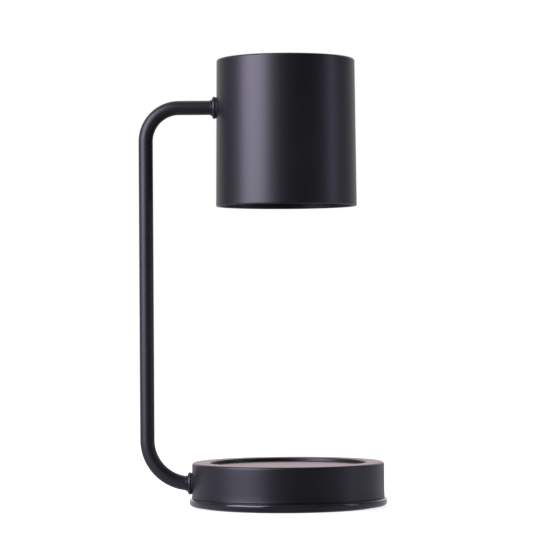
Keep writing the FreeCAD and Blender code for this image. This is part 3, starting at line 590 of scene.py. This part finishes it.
brown_sleeve = finish("brown_sleeve", (0.11, 0.04, 0.018), (0.14, 0.055, 0.026), 0.5, 0.06)
blue_sleeve = finish("blue_sleeve", (0.03, 0.075, 0.28), (0.045, 0.10, 0.33), 0.5, 0.06)
dress(brown_sleeve, "lead_live")
dress(blue_sleeve, "lead_neutral")

# Shade.
# A cup drawn from steel sheet, with a closed top and a slight taper, and its lower edge rolled into a
# hem. It is coated inside and out like the drum.

shade_wall = 0.001
shade_top_round = 0.0017
hem_inner = shade_rim_radius - 0.002
hem_top = shade_low[2] + 0.005
hem_round = 0.0009
hem_edge_round = 0.0004
hem_foot_round = 0.0002


def shade_side(inset):
    """The wall's line, with two rings that bound the hole for the arm."""
    heights = (arm_head_height + hole_band, arm_head_height - hole_band)
    return [(shade_radius(height) - inset, height, 0) for height in heights]


shade = lathe("shade_cup", [
    (0, shade_high[2], 0),
    (shade_top_radius, shade_high[2], shade_top_round),
    *shade_side(0),
    (shade_rim_radius, shade_low[2], hem_round),
    (hem_inner, shade_low[2], hem_round),
    (hem_inner, hem_top, hem_edge_round),
    (shade_radius(hem_top) - shade_wall, hem_top, hem_foot_round),
    *shade_side(shade_wall)[::-1],
    (shade_top_radius - shade_wall, shade_high[2] - shade_wall, shade_top_round - shade_wall),
    (0, shade_high[2] - shade_wall, 0)], steps=256)
drill(shade, (-shade_top_radius, 0, arm_head_height), (1, 0, 0), arm_hole_radius)
smooth(shade)
place_piece(shade, coat, "lamp", "shade")

# Lamp holder and its bracket.
# A folded zinc-plated strip is clamped by the arm's nut and hangs the ceramic holder under the shade's
# top. Two bronze contacts in the holder press on the bulb's pins.

ceramic = finish("ceramic", (0.80, 0.78, 0.72), (0.84, 0.82, 0.77), 0.62, 0.08, grain_size=0.0005,
                 relief=8e-6, patch_size=0.008)
dress(zinc, "holder_bracket", "holder_screws")
dress(ceramic, "holder_cap", "holder_body")
dress(brass, "holder_contacts")

# Bulb.
# A twist-lock reflector bulb: a ceramic foot with two nickel-plated pins, a pressed glass bowl with a
# bright coat inside, a quartz capsule, and a clear front glass.

nickel = finish("nickel", (0.70, 0.68, 0.63), (0.74, 0.72, 0.68), 0.25, 0.06, metallic=1.0,
                grain_size=0.0003, relief=1e-6)
mirror = finish("reflector_coat", (0.86, 0.86, 0.85), (0.90, 0.90, 0.90), 0.12, 0.04, metallic=1.0,
                grain_size=0.0006, relief=1e-6)


def clear_glass(name, roughness, tint):
    """Pressed glass with a faint ripple."""
    material = finish(name, tint, tint, roughness, 0.02, grain_size=0.0015, relief=4e-6,
                      swell_size=0.005, swell=3e-5)
    shader = material.node_tree.nodes["Principled BSDF"]
    shader.inputs["Transmission Weight"].default_value = 1
    shader.inputs["IOR"].default_value = 1.47
    return material


lens_glass = clear_glass("lens_glass", 0.05, (0.96, 0.98, 0.97))
quartz = clear_glass("quartz", 0.08, (0.98, 0.98, 0.98))
dress(ceramic, "bulb_base")
dress(nickel, "bulb_pins")
dress(mirror, "bulb_reflector")
dress(quartz, "bulb_burner")
dress(lens_glass, "bulb_lens")

# Studio.
# The lamp stands on a white table before a white backdrop. A tall soft light stands front left, a weaker
# one stands at the right, and the front of the room is dark, so the satin paint keeps its dark middle.


def room_glow():
    """The room's brightness by direction: bright behind the lamp, dim beside it, dark in front."""
    group = bpy.data.node_groups.new("room_glow", "ShaderNodeTree")
    group.interface.new_socket("Direction", in_out="INPUT", socket_type="NodeSocketVector")
    group.interface.new_socket("Glow", in_out="OUTPUT", socket_type="NodeSocketColor")
    group.interface.new_socket("Sides", in_out="OUTPUT", socket_type="NodeSocketFloat")
    inputs = add_node(group, "NodeGroupInput")
    outputs = add_node(group, "NodeGroupOutput")
    unit = add_node(group, "ShaderNodeVectorMath", operation="NORMALIZE")
    split = add_node(group, "ShaderNodeSeparateXYZ")
    depth = add_node(group, "ShaderNodeMapRange", {"From Min": -1})
    glow = add_node(group, "ShaderNodeValToRGB")
    stops = glow.color_ramp.elements
    stops[0].position, stops[0].color = 0, (0.025, 0.025, 0.028, 1)
    stops[1].position, stops[1].color = 1, (0.84, 0.782, 0.819, 1)
    for position, level in ((0.35, 0.06), (0.6, 0.15), (0.8, 0.30)):
        stops.new(position).color = (level, level * 0.96, level * 1.06, 1)
    rise = add_node(group, "ShaderNodeMapRange", {
        "From Min": 0.02, "From Max": 0.4, "To Min": 0, "To Max": 2.7})
    sky = add_node(group, "ShaderNodeVectorMath", operation="SCALE")
    rosy = add_node(group, "ShaderNodeVectorMath", {1: (1.05, 0.96, 0.92)}, operation="MULTIPLY")
    above = add_node(group, "ShaderNodeVectorMath", operation="MULTIPLY_ADD")
    across = add_node(group, "ShaderNodeMath", operation="ABSOLUTE")
    beside = add_node(group, "ShaderNodeMapRange", {"From Min": 0.3})
    wire(group,
         (inputs.outputs["Direction"], unit.inputs[0]),
         (unit.outputs[0], split.inputs[0]),
         (split.outputs["Y"], depth.inputs["Value"]),
         (depth.outputs["Result"], glow.inputs["Fac"]),
         (split.outputs["Z"], rise.inputs["Value"]),
         (glow.outputs["Color"], sky.inputs[0]),
         (rise.outputs["Result"], sky.inputs["Scale"]),
         (sky.outputs[0], rosy.inputs[0]),
         (glow.outputs["Color"], above.inputs[0]),
         (rosy.outputs[0], above.inputs[1]),
         (glow.outputs["Color"], above.inputs[2]),
         (above.outputs[0], outputs.inputs["Glow"]),
         (split.outputs["X"], across.inputs[0]),
         (across.outputs[0], beside.inputs["Value"]),
         (beside.outputs["Result"], outputs.inputs["Sides"]))
    return group


glow_tree = room_glow()
world = bpy.data.worlds.new("studio")
bpy.context.scene.world = world
world.use_nodes = True
tree = world.node_tree
tree.nodes.clear()
rays = add_node(tree, "ShaderNodeLightPath")
direction = add_node(tree, "ShaderNodeTexCoord")
glow = add_node(tree, "ShaderNodeGroup", node_tree=glow_tree)
seen = add_node(tree, "ShaderNodeBackground", {"Color": (1, 1, 1, 1)})
mirrored = add_node(tree, "ShaderNodeBackground")
soft = add_node(tree, "ShaderNodeBackground", {"Color": (0.93, 0.93, 0.96, 1), "Strength": 0.55})
shiny = add_node(tree, "ShaderNodeMath", operation="MAXIMUM")
for_objects = add_node(tree, "ShaderNodeMixShader")
for_camera = add_node(tree, "ShaderNodeMixShader")
output = add_node(tree, "ShaderNodeOutputWorld")
wire(tree,
     (direction.outputs["Generated"], glow.inputs["Direction"]),
     (glow.outputs["Glow"], mirrored.inputs["Color"]),
     (rays.outputs["Is Glossy Ray"], shiny.inputs[0]),
     (rays.outputs["Is Transmission Ray"], shiny.inputs[1]),
     (shiny.outputs[0], for_objects.inputs[0]),
     (soft.outputs[0], for_objects.inputs[1]),
     (mirrored.outputs[0], for_objects.inputs[2]),
     (rays.outputs["Is Camera Ray"], for_camera.inputs[0]),
     (for_objects.outputs[0], for_camera.inputs[1]),
     (seen.outputs[0], for_camera.inputs[2]),
     (for_camera.outputs[0], output.inputs["Surface"]))

# The table is open under the base and clear from below, so that the underside shows in views from there.
table_hole_radius = 0.06
table_height = -0.0001
table_stretch = 100
deselect()
bpy.ops.mesh.primitive_circle_add(vertices=64, radius=table_hole_radius, location=(0, 0, table_height))
table = bpy.context.object
table.name = "table"
bpy.ops.object.mode_set(mode="EDIT")
bpy.ops.mesh.select_all(action="SELECT")
bpy.ops.mesh.extrude_edges_move()
bpy.ops.transform.resize(value=(table_stretch, table_stretch, 1), center_override=(0, 0, 0))
bpy.ops.object.mode_set(mode="OBJECT")
if table.data.polygons[0].normal.z < 0:
    bpy.ops.object.mode_set(mode="EDIT")
    bpy.ops.mesh.select_all(action="SELECT")
    bpy.ops.mesh.flip_normals()
    bpy.ops.object.mode_set(mode="OBJECT")
table_white = bpy.data.materials.new("table_white")
table_white.use_nodes = True
tree = table_white.node_tree
tree.nodes.clear()
rays = add_node(tree, "ShaderNodeLightPath")
place = add_node(tree, "ShaderNodeTexCoord")
side = add_node(tree, "ShaderNodeNewGeometry")
glow = add_node(tree, "ShaderNodeGroup", node_tree=glow_tree)
distance = add_node(tree, "ShaderNodeVectorMath", operation="LENGTH")
# Painted shade: the table's glow in reflections is made darker near the lamp, by its distance from it.
painted_shade_near_lamp = add_node(tree, "ShaderNodeMapRange", {
    "From Min": 0.2, "From Max": 1.4, "To Min": 0.3, "To Max": 0.8})
# Painted light: in reflections the table does not reflect the lamps. It glows with the room's brightness
# by direction, plus a fixed painted glow.
painted_table_glow = add_node(tree, "ShaderNodeVectorMath", {2: (0.20, 0.19, 0.22)}, operation="MULTIPLY_ADD")
# Painted sheen: a bluish glow is added to the table's emission towards the left and right, in place of
# the side lights' reflection.
painted_side_sheen = add_node(tree, "ShaderNodeVectorMath", {1: (0.42, 0.41, 0.55)}, operation="MULTIPLY_ADD")
mirrored = add_node(tree, "ShaderNodeEmission")
plain = add_node(tree, "ShaderNodeBsdfDiffuse", {"Color": (0.75, 0.75, 0.75, 1)})
shadowed = add_node(tree, "ShaderNodeBsdfDiffuse", {"Color": (0.42, 0.42, 0.42, 1)})
backdrop = add_node(tree, "ShaderNodeEmission", {"Strength": 0.80})
bright = add_node(tree, "ShaderNodeAddShader")
clear = add_node(tree, "ShaderNodeBsdfTransparent")
for_objects = add_node(tree, "ShaderNodeMixShader")
for_camera = add_node(tree, "ShaderNodeMixShader")
from_below = add_node(tree, "ShaderNodeMixShader")
output = add_node(tree, "ShaderNodeOutputMaterial")
wire(tree,
     (place.outputs["Object"], glow.inputs["Direction"]),
     (place.outputs["Object"], distance.inputs[0]),
     (distance.outputs["Value"], painted_shade_near_lamp.inputs["Value"]),
     (glow.outputs["Glow"], painted_table_glow.inputs[0]),
     (painted_shade_near_lamp.outputs["Result"], painted_table_glow.inputs[1]),
     (glow.outputs["Sides"], painted_side_sheen.inputs[0]),
     (painted_table_glow.outputs[0], painted_side_sheen.inputs[2]),
     (painted_side_sheen.outputs[0], mirrored.inputs["Color"]),
     (rays.outputs["Is Glossy Ray"], for_objects.inputs[0]),
     (plain.outputs[0], for_objects.inputs[1]),
     (mirrored.outputs[0], for_objects.inputs[2]),
     (shadowed.outputs[0], bright.inputs[0]),
     (backdrop.outputs[0], bright.inputs[1]),
     (rays.outputs["Is Camera Ray"], for_camera.inputs[0]),
     (for_objects.outputs[0], for_camera.inputs[1]),
     (bright.outputs[0], for_camera.inputs[2]),
     (side.outputs["Backfacing"], from_below.inputs[0]),
     (for_camera.outputs[0], from_below.inputs[1]),
     (clear.outputs[0], from_below.inputs[2]),
     (from_below.outputs[0], output.inputs["Surface"]))
table.data.materials.append(table_white)

aim = Vector((0, 0, 0.2))


def soft_light(name, azimuth, distance, height, width, tall, radiance, colour):
    """A soft light at an azimuth counted from the camera's side towards +X, aimed at the lamp."""
    turn = math.radians(azimuth)
    place = Vector((distance * math.sin(turn), -distance * math.cos(turn), height))
    lamp = bpy.data.lights.new(name, "AREA")
    lamp.shape = "RECTANGLE"
    lamp.size = width
    lamp.size_y = tall
    lamp.color = colour
    lamp.energy = radiance * math.pi * width * tall
    light = bpy.data.objects.new(name, lamp)
    light.location = place
    light.rotation_euler = (place - aim).to_track_quat("Z", "Y").to_euler()
    light.visible_camera = False
    bpy.context.collection.objects.link(light)


soft_light("key_light", azimuth=-53.5, distance=1.25, height=0.72, width=1.08, tall=1.3, radiance=9.3,
           colour=(0.81, 0.756, 1.0))
soft_light("side_light", azimuth=80, distance=1.3, height=0.5, width=0.30, tall=1.0, radiance=2.6,
           colour=(0.72, 0.69, 1.0))
soft_light("top_light", azimuth=180, distance=0.5, height=1.7, width=1.2, tall=1.2, radiance=0.8,
           colour=(1.0, 0.96, 0.97))

focal_pixels = 2576.5
frame_pixels = 552
sensor_width = 36
axis_offset = 0.0076
camera_distance = 1.798
camera_height = 0.135
pitch = 0.01424
roll = -0.0065
lens = bpy.data.cameras.new("camera")
lens.sensor_width = sensor_width
lens.lens = focal_pixels / frame_pixels * sensor_width
lens.clip_end = 20
camera = bpy.data.objects.new("camera", lens)
camera.location = (-axis_offset, -camera_distance, camera_height)
camera.rotation_euler = (
    Matrix.Rotation(math.pi / 2 + pitch, 3, "X") @ Matrix.Rotation(roll, 3, "Z")).to_euler()
bpy.context.collection.objects.link(camera)
bpy.context.scene.camera = camera
bpy.context.scene.view_settings.view_transform = "Standard"
